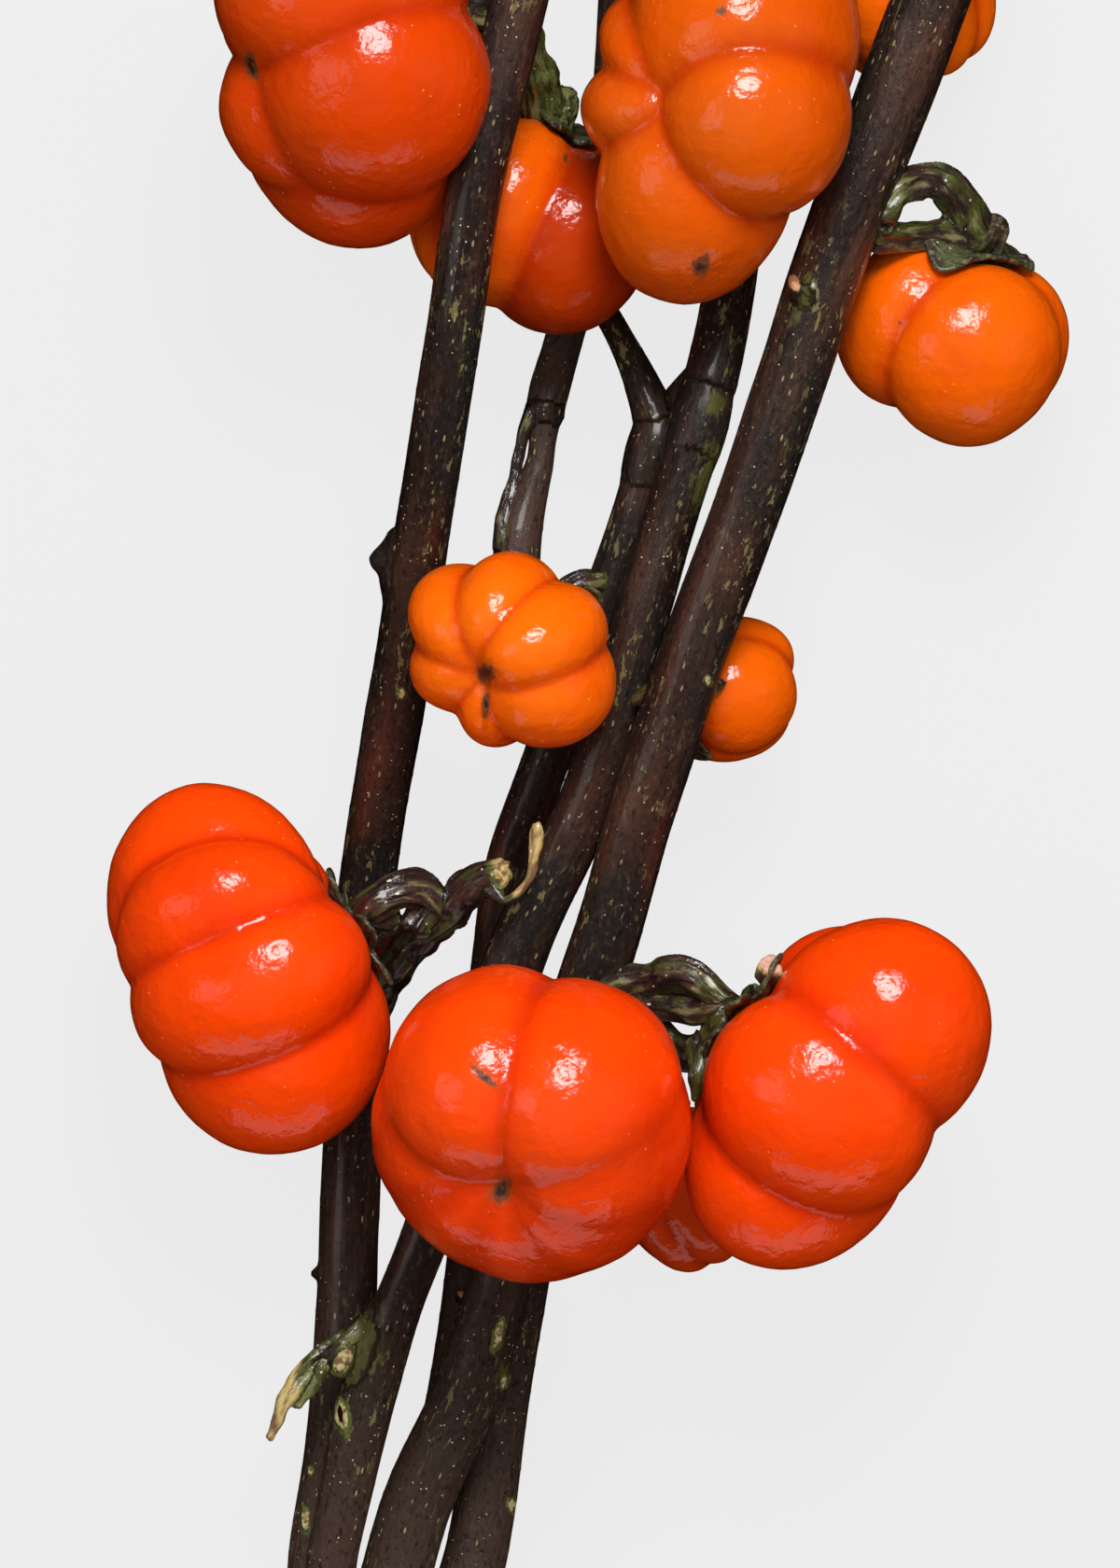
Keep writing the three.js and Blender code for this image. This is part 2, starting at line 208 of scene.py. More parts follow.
class Value:  # a socket in sums: adds Math nodes
    def __init__(self, shader, socket):
        self.shader, self.socket = shader, socket

    def math(self, operation, first, second=0.0):
        return self.shader.add("Math", {"operation": operation}, {0: first, 1: second})

    def __add__(self, other):
        return self.math("ADD", self, other)

    def __sub__(self, other):
        return self.math("SUBTRACT", self, other)

    def __rsub__(self, other):
        return self.math("SUBTRACT", other, self)

    def __mul__(self, other):
        return self.math("MULTIPLY", self, other)

    __radd__ = __add__
    __rmul__ = __mul__

    def larger(self, other):
        return self.math("MAXIMUM", self, other)

    def between(self, low, high):  # 0 below low, 1 above high, eased between; low may be above high
        return self.shader.add("MapRange", {"interpolation_type": "SMOOTHSTEP"}, {0: self, 1: low, 2: high})


class Shader:
    def __init__(self, name, **surface):
        self.material = bpy.data.materials.new(name)
        self.material.use_nodes = True
        self.nodes = self.material.node_tree.nodes
        self.surface = self.nodes["Principled BSDF"]
        for key, value in surface.items():
            self.put(self.surface.inputs[key.replace("_", " ")], value)

    def put(self, socket, value):
        if isinstance(value, Value):
            self.material.node_tree.links.new(value.socket, socket)
        elif isinstance(value, tuple) and socket.type == "RGBA":
            socket.default_value = (*value, 1)
        else:
            socket.default_value = value

    def add(self, kind, settings=None, sockets=None, output=0):
        node = self.nodes.new("ShaderNode" + kind)
        for key, value in (settings or {}).items():
            setattr(node, key, value)
        for key, value in (sockets or {}).items():
            self.put(node.inputs[key], value)
        return Value(self, node.outputs[output])

    def mix(self, first, second, factor):
        return self.add("Mix", {"data_type": "RGBA"}, {0: factor, 6: first, 7: second}, 2)

    def stretch(self, grain, along):  # for patterns drawn out along the grain, more so near 0
        return self.add("VectorMath", {"operation": "MULTIPLY"}, {0: grain, 1: (1, 1, along)})

    def clouds(self, place, scale, detail=2.0, roughness=0.5):
        sockets = {"Vector": place, "Scale": scale, "Detail": detail, "Roughness": roughness}
        return self.add("TexNoise", None, sockets)

    def cells(self, place, scale):  # the distance to the middle of the nearest cell
        return self.add("TexVoronoi", None, {"Vector": place, "Scale": scale}, "Distance")

    def attribute(self, name, output="Fac"):
        return self.add("Attribute", {"attribute_name": name}, None, output)

    def finish(self, colour, roughness, height, depth, coat=None):
        self.put(self.surface.inputs["Base Color"], colour)
        self.put(self.surface.inputs["Roughness"], roughness)
        bump = self.add("Bump", None, {"Strength": 1.0, "Distance": depth, "Height": height})
        self.put(self.surface.inputs["Normal"], bump)
        if coat is not None:
            self.put(self.surface.inputs["Coat Weight"], coat)
        return self.material


# Skin colours are bright crown, a deeper tone painted in random patches and as shade in the grooves, and the
# tint near the blossom end.
red = ((0.92, 0.058, 0.0008), (0.80, 0.034, 0.0008), (0.84, 0.075, 0.006))
# a red darkened with painted shade, worn by the upper left fruit that lies in less light
shadedRed = ((0.60, 0.045, 0.0006), (0.50, 0.030, 0.0006), (0.60, 0.065, 0.004))
orange = ((0.80, 0.108, 0.0006), (0.66, 0.062, 0.0006), (0.80, 0.15, 0.008))
# an orange darkened with painted shade, worn by the upper middle fruit that lies in less light
amber = ((0.64, 0.080, 0.0006), (0.50, 0.045, 0.0006), (0.62, 0.115, 0.006))
# an orange lightened with painted light, which lifts the top right fruit out of the stems' shadow; the small
# middle fruit wears it too
bright = ((0.92, 0.130, 0.0008), (0.78, 0.075, 0.0008), (0.92, 0.18, 0.008))
darkRed = ((0.62, 0.045, 0.0006), (0.50, 0.026, 0.0006), (0.55, 0.05, 0.004))
# Stalk is the way that the stalk leaves the fruit, and groove how deep the grooves are, as a share.
# A lobe is azimuth, half angle, reach, half height and lift towards the stalk; azimuth 0 faces up.
# A mark is x, y, half width, half length and turn in degrees, on the side that faces up.
# Calyx is the cap's reach; notch, shift and squash change its outline. Fresh is how green the stalk is,
# and a ripe lobe, given by its number, is riper and redder than the rest and darker with painted shade.
fruits = {
    "upper_left": {
        "skin": shadedRed, "slot": "red_skin", "centre": (-34, 120.5, 46), "stalk": (0.93, 0.17, -0.33),
        "groove": 0.12, "calyx": 9, "marks": [(-49.3, 114.6, 1.2, 3, 12)],
        "lobes": [
            (52, 46, 30.5, 19.5, -0.5), (-40, 42, 28.5, 21, -2.5), (104, 30, 35.2, 18.5, -0.3),
            (84, 28, 27, 20.5, -3.2), (152, 26, 27, 17, 0), (-157, 28, 25, 17, 0), (-108, 28, 27, 18, 0),
        ],
    },
    "behind_left_stem": {
        "skin": orange, "slot": "orange_skin", "centre": (-4.8, 91, 22), "stalk": (0.27, 0.95, 0.1), "fresh": 1,
        "groove": 0.12, "calyx": 9, "ripeAndShaded": 1, "marks": [(1, 100.8, 0.5, 0.9, 0)],
        "lobes": [
            (-26, 33, 21, 15.5, 1), (48, 41, 22, 15.4, -1.2), (108, 27, 19.5, 15, 0),
            (155, 26, 17.5, 15, 0), (-154, 26, 17.5, 15, 0), (-104, 26, 20.5, 15, 0), (-62, 22, 20.5, 15, 0),
        ],
    },
    "upper_middle": {
        "skin": amber, "slot": "amber_skin", "centre": (24.8, 108, 50), "stalk": (0.5, 0.05, -0.86),
        "groove": 0.14, "calyx": 9, "marks": [(25.6, 123, 0.9, 1, 0), (22.5, 82.8, 1.6, 2.3, -20)],
        "lobes": [
            (13, 56, 23.5, 17.6, -2), (113, 27, 32, 18, 0), (186, 28, 21.5, 16.5, -0.5),
            (-128, 20, 24, 15, 0), (-66, 38, 32, 20, 3),
        ],
    },
    "top_right": {
        "skin": bright, "slot": "orange_skin", "centre": (56.5, 127, 12.5), "stalk": (-0.3, 0.92, 0.25),
        "groove": 0.1, "calyx": 6,
        "lobes": [
            (25, 30, 14, 12.5, 0), (85, 30, 14, 12, 0), (145, 30, 13.8, 12, 0),
            (-155, 30, 13.8, 12, 0), (-95, 30, 14, 12, 0), (-35, 30, 14, 12, 0),
        ],
    },
    "right": {
        "skin": orange, "slot": "amber_skin", "centre": (63.4, 72, 20.5), "stalk": (0.34, 0.9, 0.25),
        "groove": 0.12, "calyx": 13, "notch": 0.8, "shift": -3.5, "squash": 0.75, "fresh": 0.35,
        "marks": [(54.7, 74.2, 0.4, 0.5, 0)],
        "lobes": [
            (30, 58, 20.3, 15.2, 0.3), (-60, 32, 20.4, 14.2, 1), (112, 28, 19.4, 14.5, 0),
            (165, 27, 18.6, 14.5, 0), (-154, 27, 18.6, 14.5, 0), (-108, 30, 19, 14.2, 0.5),
        ],
    },
    "small_middle": {
        "skin": bright, "slot": "amber_skin", "centre": (-7.7, 20.6, 43), "stalk": (0.37, 0.24, -0.9),
        "groove": 0.15, "calyx": 11, "marks": [(-11.8, 17.7, 2.0, 2.1, 0), (-11.9, 12.6, 0.8, 3.2, -4)],
        "lobes": [
            (5, 33, 17, 14, -1.3), (68, 40, 18, 13.2, 0), (137, 27, 15.2, 12, 0),
            (-156, 29, 17, 12.5, 0), (-109, 25, 19.2, 13, 0), (-58, 30, 17, 13.2, -0.2),
        ],
    },
    "small_right": {
        "skin": orange, "slot": "orange_skin", "centre": (27, 15, 20.5), "stalk": (-0.85, -0.1, 0.5),
        "groove": 0.08, "calyx": 10.5,
        "lobes": [
            (-10, 62, 12, 10.1, 0.4), (78, 36, 12.2, 10.5, -1.5), (148, 36, 11.8, 10.5, -1.2),
            (-152, 36, 11.4, 10.3, -0.8), (-100, 36, 11.6, 10.3, -0.5),
        ],
    },
    "lower_left": {
        "skin": red, "slot": "red_skin", "centre": (-50.8, -30.2, 24.3), "stalk": (0.92, 0.33, 0.16),
        "groove": 0.15, "calyx": 9,
        "lobes": [
            (12, 35, 27.5, 20, 2), (-40, 25.5, 28.5, 17.7, 0.5), (-84, 25.5, 31.5, 17.7, -0.5),
            (70, 31, 31.5, 19, 1.5), (124, 28, 26, 17, 0), (180, 29, 25, 17, 0), (-132, 27, 26, 17, 0),
        ],
    },
    "lower_middle": {
        "skin": red, "slot": "red_skin", "centre": (-4.4, -54.2, 55), "stalk": (0.26, 0.5, -0.83),
        "groove": 0.12, "calyx": 10, "marks": [(-9.5, -64.8, 1.9, 2.5, -30), (-12, -46.5, 0.8, 3.4, 48)],
        "lobes": [
            (23, 50, 26.3, 21, 0), (70, 58, 25.6, 20.5, 0), (108, 60, 25.8, 20, 0), (152, 60, 25.9, 19.7, 0),
            (-164, 60, 26.1, 19.5, 0), (-126, 56, 26.1, 19, 0), (-66, 44, 26.8, 21, 0),
        ],
    },
    "lower_right": {
        "skin": red, "slot": "red_skin", "centre": (43.3, -47.2, 36.5), "stalk": (-0.8, 0.59, 0.12),
        "groove": 0.14, "calyx": 10, "fresh": 0.3,
        "lobes": [
            (-22, 46, 28.3, 19.4, 0.3), (56, 35, 32, 18, -1), (118, 30, 27, 17.5, 0),
            (172, 27, 25, 17, 0), (-130, 28, 27, 17.5, -0.5), (-78, 26, 33, 17.7, -2.5),
        ],
    },
    "low_behind": {
        "skin": darkRed, "slot": "dark_red_skin", "centre": (20.9, -65.8, 11.3), "stalk": (-0.45, 0.85, 0.25),
        "groove": 0.1, "calyx": 6,
        "lobes": [
            (0, 32, 12.4, 12, 0), (64, 32, 12.4, 12, 0), (126, 31, 12.4, 12, 0),
            (-172, 32, 12.2, 12, 0), (-110, 31, 12.2, 12, 0), (-54, 26, 12.4, 12, 0),
        ],
    },
}
fruitForm = {
    "segments": 48,
    "rings": 28,
    "lobeDepth": 0.62,  # radial half-size of a lobe as a share of its reach
    "voxel": 0.68,  # mesh size of the skin, mm
    "smooth": 3,
    "crease": 0.02,  # grooves are deeper here than in the CAD lobes
    "wobble": 0.35,  # gentle unevenness, mm
    "wobbleSize": 0.014,  # m
    "ripple": 0.05,  # mm
    "rippleSize": 0.0045,  # m
    "grooveShadeWidth": 0.2,  # how far the painted shade in the grooves reaches, as a share of a lobe
    "ripeAndShadedEdge": (-0.02, 0.06),  # where a riper lobe's colour and painted shade start and are full, in the same way
    "blossomFrom": 4,  # how far under the centre the blossom end's tint starts, mm
}
fruitLook = {  # a pattern is finer where its scale is larger
    # painted shade: the dark red laid along the bottom of the grooves
    "groove": (0.40, 0.018, 0.0006),
    # a riper lobe's dark red, partly its own colour and partly painted shade
    "ripeAndShaded": (0.36, 0.018, 0.0006),
    "markRim": (0.42, 0.060, 0.004),
    "markBrown": (0.14, 0.036, 0.007),
    "markDark": (0.026, 0.012, 0.006),
    "dot": (0.95, 0.42, 0.10),
    "roughness": 0.11,
    "bump": 0.0003,  # m
    "scales": {"patches": 55, "grain": 420, "frayed": 900, "dots": 480, "dotAreas": 130, "wrinkles": 400},
}


def fruitAxes(fruit):
    stalk = Vector(fruit["stalk"]).normalized()
    facing = (Vector((0, 0, 1)) - stalk * stalk.z).normalized()
    return stalk, facing, stalk.cross(facing)


def lobeFrame(fruit, lobe):  # centre in metres, three axes and three half-sizes in metres
    azimuth, halfAngle, reach, height, lift = lobe
    stalk, facing, across = fruitAxes(fruit)
    turn, half = math.radians(azimuth), math.radians(halfAngle)
    outward = facing * math.cos(turn) + across * math.sin(turn)
    depth, groove = fruitForm["lobeDepth"], 1 - fruit["groove"] - fruitForm["crease"]
    along = (groove * math.cos(half) - 1 + depth) / depth
    width = reach * groove * math.sin(half) / math.sqrt(1 - along * along)
    centre = Vector(place(fruit["centre"])) + (outward * reach * (1 - depth) + stalk * lift) / 1000
    return centre, (outward, stalk, outward.cross(stalk)), (reach * depth / 1000, height / 1000, width / 1000)


def growFruit(name):
    fruit = fruits[name]
    segments, rings = fruitForm["segments"], fruitForm["rings"]
    balls = []
    for lobe in fruit["lobes"]:
        centre, axes, sizes = lobeFrame(fruit, lobe)
        bpy.ops.object.select_all(action="DESELECT")
        bpy.ops.mesh.primitive_uv_sphere_add(segments=segments, ring_count=rings, radius=1)
        turn = Matrix([axis * size for axis, size in zip(axes, sizes)]).transposed().to_4x4()
        bpy.context.object.matrix_world = Matrix.Translation(centre) @ turn
        balls.append(bpy.context.object)
    piece = joined(balls, "skin_" + name)
    skinned(piece, fruitForm["voxel"], fruitForm["smooth"])
    at = points(piece)
    shift = rough(at, fruitForm["wobbleSize"]) * fruitForm["wobble"]
    shift += rough(at, fruitForm["rippleSize"]) * fruitForm["ripple"]
    movePoints(piece, at + normals(piece) * shift[:, None] / 1000)
    restFlat(piece)
    at = points(piece)
    reach = []
    for lobe in fruit["lobes"]:
        centre, axes, sizes = lobeFrame(fruit, lobe)
        local = (at - np.array(centre)) @ np.array(axes).T / np.array(sizes)
        reach.append(np.linalg.norm(local, axis=1))
    # one lobe is marked as riper and as darker with painted shade
    if "ripeAndShaded" in fruit:
        others = np.min(np.delete(np.array(reach), fruit["ripeAndShaded"], axis=0), axis=0)
        keep(piece, "ripeAndShaded", ease(others - reach[fruit["ripeAndShaded"]], *fruitForm["ripeAndShadedEdge"]))
    reach = np.sort(np.array(reach), axis=0)
    keep(piece, "hollow", 1 - ease(reach[1] - reach[0], 0, fruitForm["grooveShadeWidth"]))  # 1 deep in a groove, where shade is painted
    height = (at - place(fruit["centre"])) @ np.array(fruitAxes(fruit)[0]) * 1000
    tallest = max(lobe[3] for lobe in fruit["lobes"])
    keep(piece, "blossom", ease(-height, fruitForm["blossomFrom"], tallest))  # 1 at the blossom end
    keep(piece, "mark", ovals(at, normals(piece), fruit.get("marks", [])))
    finishPiece(piece, fruitSkin(name), fruit["slot"], "fruit_" + name)
    return piece


def fruitSkin(name):
    crown, deep, tip = fruits[name]["skin"]
    shader = Shader("skin_" + name, IOR=1.45)
    scales = fruitLook["scales"]
    here = shader.add("TexCoord", None, None, "Object")
    hollow, blossom = shader.attribute("hollow"), shader.attribute("blossom")
    patches = shader.clouds(here, scales["patches"], 3)
    grain = shader.clouds(here, scales["grain"], 3, 0.6)
    # the deeper tone comes in random patches and, through hollow, as painted shade in the grooves
    colour = shader.mix(crown, deep, (patches + grain * 0.25 + hollow * 0.35).between(0.5, 1.05))
    colour = shader.mix(colour, tip, blossom * patches.between(0.3, 0.7) * 0.5)
    if "ripeAndShaded" in fruits[name]:  # one lobe of this fruit is riper and redder, and darker with painted shade
        ripeAndShaded = shader.attribute("ripeAndShaded") * (patches * 0.4 + 0.65)
        colour = shader.mix(colour, fruitLook["ripeAndShaded"], ripeAndShaded)
    # painted shade darkens the bottom of each groove
    colour = shader.mix(colour, fruitLook["groove"], hollow.between(0.7, 1.0) * 0.3)
    mark = shader.attribute("mark") + shader.clouds(here, scales["frayed"], 3) * 1.2
    colour = shader.mix(colour, fruitLook["markRim"], mark.between(2.0, 1.5) * 0.5)
    colour = shader.mix(colour, fruitLook["markBrown"], mark.between(1.55, 1.2) * 0.9)
    colour = shader.mix(colour, fruitLook["markDark"], mark.between(1.1, 0.8))
    dots = shader.cells(here, scales["dots"]).between(0.12, 0.05)
    dots = dots * shader.clouds(here, scales["dotAreas"]).between(0.5, 0.6)
    colour = shader.mix(colour, fruitLook["dot"], dots * 0.45)
    height = shader.clouds(here, scales["wrinkles"], 3) + grain * 0.1 + dots * 0.15
    roughness = grain * 0.1 + fruitLook["roughness"] + dots * 0.2 + mark.between(1.6, 1.2) * 0.4
    return shader.finish(colour, roughness, height, fruitLook["bump"])


# A stem's centre line points are x, y, z and radius, from the butt to the tip.
butt = (-35.3, -184, 8.9, 7.2)
stems = {
    "left": [
        butt, (-35.7, -168, 8.5, 6.8), (-37.5, -153, 7.6, 5.8), (-39.6, -138, 6.2, 5.1),
        (-39.3, -126, 5.5, 4.9), (-36.6, -108, 5.4, 4.9), (-34.8, -84, 5.4, 5), (-34.1, -66, 5.4, 5),
        (-33.6, -54, 5.4, 4.9), (-33.1, -39, 5.4, 4.8), (-32.2, -24, 5.6, 4.8),
        (-30.7, -12, 8, 4.8), (-27.7, 6, 17, 4.8), (-21.8, 42, 35, 4.7), (-18, 66, 43, 4.6),
        (-13.3, 96, 48, 4.6), (-6.4, 126, 48, 4.7), (1, 158, 46, 4.6),
    ],
    "middle": [
        butt, (-35.8, -166, 9.2, 6.4), (-37.3, -143, 11.2, 4.8), (-36.9, -126, 14.4, 4.2),
        (-35.3, -118, 15.2, 4.3), (-31.2, -99, 16.8, 4.7), (-26.4, -84.5, 18.6, 4.1),
        (-22.5, -75, 20, 4.1), (-15.9, -54.5, 23, 4.6), (-5.6, -24, 26, 5), (5.3, -1, 28, 4.9),
        (11.3, 21, 30, 4.8), (17.6, 42, 29, 4.6), (24.6, 66, 26, 4.5), (27.3, 79.5, 22, 4.3),
        (30, 96, 18, 4.2), (34.5, 120, 16, 4), (37.5, 146, 17, 3.8),
    ],
    "right": [
        butt, (-34.2, -167, 9.2, 6.8), (-31.2, -149, 10, 6.2), (-25.9, -126, 11.5, 5.8),
        (-23.6, -118, 12.4, 5.8), (-15.4, -99, 15.7, 5.5), (-9.8, -81, 19, 5.4),
        (-1.8, -54.5, 23.5, 5.4), (5.7, -30, 28, 5.5), (7.7, -24, 29, 5.5), (12.8, -6, 33, 5.5),
        (20.4, 18, 37.5, 5.6), (29.4, 42, 39, 5.7), (37.6, 66, 39, 5.8), (41.5, 78, 38.6, 5.9),
        (50.5, 102, 37.5, 6.1), (59.7, 126, 36, 6.2), (69.8, 153, 35, 6.1),
    ],
    "back": [
        (-25, -129, 10.5, 3.6), (-21.6, -114, 8.2, 3.4), (-18.2, -99, 6.4, 3.4),
        (-14.9, -78, 8.8, 3.6), (-12.4, -51, 10.4, 3.8), (-10.4, -27, 12, 4),
        (-8, -12, 14.4, 4), (-3.6, 0, 17, 4), (3, 18, 18.5, 4), (9.6, 36, 19.5, 4),
        (13.5, 48, 20, 4), (15.6, 58, 20, 3.9), (13.4, 64.5, 19.4, 3), (9.9, 72, 16, 2.4),
        (7, 77.5, 11.5, 2.2),
    ],
    "back_right": [
        (15.6, 57, 20, 3.4), (20.3, 63, 16.5, 3.1), (23.6, 67, 13.5, 3), (26.3, 73.5, 11.8, 2.9),
        (28.5, 84, 10.6, 2.8), (32, 99, 9, 2.6),
    ],
    "back_left": [
        (-0.6, 6, 17.6, 3.4), (-4.2, 14, 16.4, 3.5), (-6.4, 26, 15, 3.7), (-6.3, 42, 13, 3.7),
        (-4.9, 47, 12, 3), (-3.2, 52.5, 11.2, 2.3), (-2.8, 56, 10.8, 2.3), (-2.4, 60, 9.9, 3.1),
        (0.6, 72, 7.2, 3.2), (2.9, 81, 5, 3.2), (6, 96, 3.1, 3.2),
        (8.2, 111, 2.7, 3.2), (9.2, 126, 2.7, 3.2), (10.2, 144, 4.5, 3),
    ],
    "under": [
        (-34.8, -172, 8.6, 4.8), (-28.5, -157, 8.3, 5.4), (-19.5, -142, 8, 5.6), (-13.8, -126, 6.5, 5.2),
        (-12.2, -118, 6, 5.1), (-9.8, -99, 5.8, 5), (-7.4, -84, 5.8, 5), (-5.3, -72, 6.8, 4.8),
        (-3.8, -61.5, 7.5, 4.6), (-2.3, -50, 8, 4.4),
    ],
}
growths = {  # small growths and swellings that merge into a stem
    "left": [
        [(-25, 31, 30, 3.8), (-25.6, 35, 31, 3.8), (-24, 40, 32.6, 4)],
        [(-24, 37, 31.4, 4), (-26.6, 36.8, 31.4, 3.3), (-28.6, 36.2, 31.6, 2.4), (-30.6, 35.6, 31.8, 1.2)],
        [(-36, -80.5, 6, 1.8), (-40.5, -79.3, 7, 0.7)],
    ],
    "middle": [
        [(-28.6, -85, 18.2, 3), (-30, -90, 17.7, 4.3), (-31.6, -95.5, 17.1, 4.4), (-32.6, -101, 16.6, 3.2)],
        [(-36.4, -95.6, 20.4, 1.6), (-35.3, -93, 21, 1.9), (-34, -89.6, 21, 1.4)],
        [(19.6, 48.5, 28.1, 3.8), (21.4, 54.5, 27.6, 4.9), (23.1, 60.5, 27, 5), (24.8, 67, 25.8, 3.9)],
    ],
    "right": [
        [(39.6, 77.5, 42.6, 2.2), (38, 79.4, 45, 1.2), (37.2, 81, 45.4, 0.6)],
        [(-12.5, -92.5, 16.4, 2.2), (-9.6, -96.5, 17, 1.2), (-8.6, -97.8, 17, 0.7)],
    ],
    "back": [[(13, 46, 20, 3.3), (14.2, 51, 20, 4.4), (15.4, 56, 20, 4.4), (16.2, 61, 19.6, 3)]],
    "back_left": [
        [(-2.9, 58.4, 10.2, 2.5), (-2.5, 60, 9.8, 3.5), (-2.1, 62, 9.3, 2.9)],
    ],
    "under": [[(-16, -84, 9.5, 1.8), (-15.6, -82.6, 12, 1.2)]],
}
# Leaf scars, their holes, dry tips and moss are ovals, written as the fruits' marks are.
scars = {
    "left": [(-25.5, 14.5, 1, 1.2, 10), (-41.3, -119.5, 0.9, 2.4, 5), (-40.6, -111.5, 0.6, 0.9, 0)],
    "middle": [(-35.3, -102.4, 1.4, 3.6, 8), (-35.1, -93.2, 1.6, 3.4, -22)],
    "right": [(-9.9, -88.6, 1.0, 3.2, -15), (-8.9, -97, 0.8, 1.4, 0), (23.8, 16.6, 0.8, 1.1, 30)],
    "under": [(-7.4, -117.5, 1.1, 1.6, 20)],
}
holes = {"middle": [(-35.6, -101.8, 0.45, 1.5, 8), (-36.2, -95, 0.3, 0.5, 0)]}
tips = {  # dry orange or pink tips
    "right": [(37.6, 80.4, 0.9, 1.5, 20)],
    "under": [(-15.6, -82.4, 1.1, 1.2, 0)],
    "left": [(-32.2, -121, 0.5, 2.4, -15)],
}
moss = {  # green patches
    "middle": [(-33, -91, 3, 6.4, -20), (24.2, 51, 1.8, 4.8, -18), (24.6, 61, 1.6, 2.6, 0)],
    "right": [(-9, -96, 1.2, 2.4, -10), (38.8, 77, 1.2, 3.4, -20)],
    "back_left": [(-9.4, 41, 0.9, 5, -10), (-4.6, 60.4, 1.5, 1, 0)],
}
stemForm = {  # heights and steps in mm, sizes and reach in m
    "voxel": 0.7, "smooth": 3, "step": 1.5, "growthStep": 0.8,
    "cutReach": 0.008, "cutFacing": (0.6, 0.9),  # how squarely a cut face looks along the stem
    "ridge": 0.12, "ridgeSize": 0.0028, "swell": 0.35, "swellSize": 0.016,
}
stemLook = {
    "dark": (0.015, 0.0078, 0.006),
    "brown": (0.040, 0.019, 0.013),
    "red": (0.074, 0.027, 0.016),
    "greenBlack": (0.010, 0.013, 0.012),
    "buttSide": (0.088, 0.048, 0.034),
    "streak": (0.070, 0.046, 0.030),
    "mottle": (0.090, 0.050, 0.033),
    "pit": (0.005, 0.004, 0.003),
    "fleck": (0.19, 0.155, 0.060),
    "dash": (0.34, 0.25, 0.12),
    "dot": (0.66, 0.57, 0.39),  # the small pale pores
    "moss": ((0.040, 0.045, 0.010), (0.15, 0.15, 0.028)),
    "scarEdge": (0.12, 0.14, 0.03),
    "scar": ((0.17, 0.10, 0.04), (0.52, 0.43, 0.20)),
    # painted shade inside the leaf scars' holes
    "hole": (0.012, 0.006, 0.004),
    "tip": (0.55, 0.27, 0.13),
    "cut": ((0.42, 0.40, 0.20), (0.60, 0.55, 0.36)),
    "bump": 0.0009,  # m
    "scales": {
        "streaks": 620, "bands": 150, "tone": 60, "mottle": 1300, "clusters": 80, "flecks": 760,
        "dashes": 620, "dashAreas": 170, "dots": 700, "dotAreas": 110, "fine": 900, "torn": 420,
    },
}
lineShift = 0.5  # keeps the patterns of two lines in one piece apart
ridgeStretch, swellStretch = 0.12, 0.5  # ridges are drawn out along the grain, swellings less so


def smoothLine(knots, step):  # points along a smooth line through the knots
    knots = np.array(knots, float)
    along = np.concatenate(([0], np.cumsum(np.linalg.norm(np.diff(knots[:, :3], axis=0), axis=1))))
    slope = np.gradient(knots, along, axis=0)
    at = np.linspace(0, along[-1], max(5, round(along[-1] / step) + 1))
    first = np.clip(np.searchsorted(along, at, "right") - 1, 0, len(along) - 2)
    gap = (along[first + 1] - along[first])[:, None]
    share = ((at - along[first]) / gap[:, 0])[:, None]
    square, cube = share**2, share**3
    return (
        knots[first] * (2 * cube - 3 * square + 1) + slope[first] * gap * (cube - 2 * square + share)
        + knots[first + 1] * (3 * square - 2 * cube) + slope[first + 1] * gap * (cube - square)
    )


rodForm = {"unit": 0.001, "roundness": 5, "weld": 0.00001}  # a knot's radius is in mm


def rod(line):  # a round rod with the line's own thickness
    curve = bpy.data.curves.new("rod", "CURVE")
    curve.dimensions = "3D"
    curve.bevel_depth = rodForm["unit"]
    curve.bevel_resolution = rodForm["roundness"]
    curve.use_fill_caps = True
    path = curve.splines.new("POLY")
    path.points.add(len(line) - 1)
    for point, knot in zip(path.points, line):
        point.co = (*place(knot), 1)
        point.radius = knot[3]
    piece = bpy.data.objects.new("rod", curve)
    bpy.context.collection.objects.link(piece)
    onlySelect(piece)
    bpy.ops.object.convert(target="MESH")
    piece = bpy.context.object
    bpy.ops.object.mode_set(mode="EDIT")
    bpy.ops.mesh.select_all(action="SELECT")
    bpy.ops.mesh.remove_doubles(threshold=rodForm["weld"])
    bpy.ops.mesh.normals_make_consistent(inside=False)
    bpy.ops.object.mode_set(mode="OBJECT")
    return piece


def grainOf(at, lines):  # straightened places: across in two directions, then along the nearest line
    best = np.full(len(at), np.inf)
    grain = np.zeros((len(at), 3))
    for number, line in enumerate(lines):
        centres = placeLine(line)
        ahead = np.gradient(centres, axis=0)
        ahead /= np.linalg.norm(ahead, axis=1)[:, None]
        side = np.cross(ahead, (0, 0, 1.0))
        side /= np.linalg.norm(side, axis=1)[:, None] + 1e-9
        rise = np.cross(side, ahead)
        steps = np.concatenate(([0], np.cumsum(np.linalg.norm(np.diff(centres, axis=0), axis=1))))
        gaps = np.linalg.norm(at[:, None] - centres[None], axis=2) / (line[:, 3] / 1000)[None]
        nearest = gaps.argmin(axis=1)
        gap = gaps[np.arange(len(at)), nearest]
        away = at - centres[nearest]
        along = steps[nearest] + (away * ahead[nearest]).sum(1)
        onLine = [(away * side[nearest]).sum(1), (away * rise[nearest]).sum(1), along + number * lineShift]
        closer = gap < best
        best[closer] = gap[closer]
        grain[closer] = np.stack(onLine, 1)[closer]
    return grain


